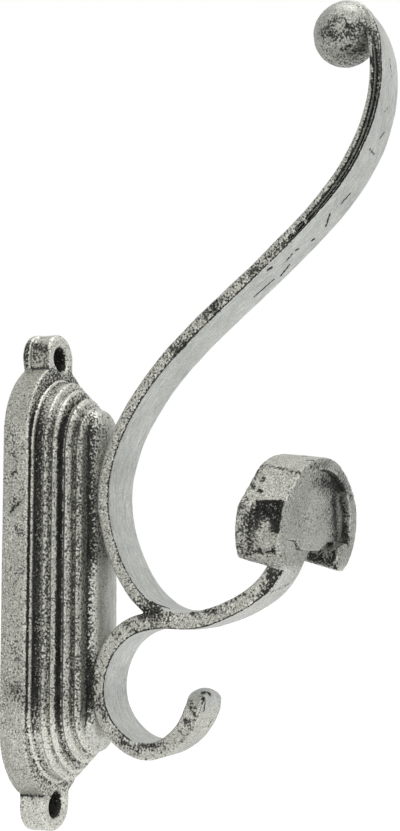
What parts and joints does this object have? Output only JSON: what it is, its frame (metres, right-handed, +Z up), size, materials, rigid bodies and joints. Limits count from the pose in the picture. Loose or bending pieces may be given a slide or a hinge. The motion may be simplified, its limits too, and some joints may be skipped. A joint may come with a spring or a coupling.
{
  "type": "wall hook",
  "caption": "Cast wall hook with a stepped oval plate, screw lugs, a long curled arm that ends in a ball, a half-round strap rest and a small lower hook.",
  "frame": {"origin": "on the wall plane, midway between the two screw holes", "axes": "+Z up, +Y into the wall so the hook stands out along -Y, +X to the right of someone facing the wall"},
  "size_m": [0.0646, 0.1171, 0.2468],
  "materials": {
    "cast_metal": "antique pewter, rubbed bright with dark patina in the hollows"
  },
  "bodies": {
    "root": {"hook_casting": "cast_metal"}
  },
  "joints": []
}
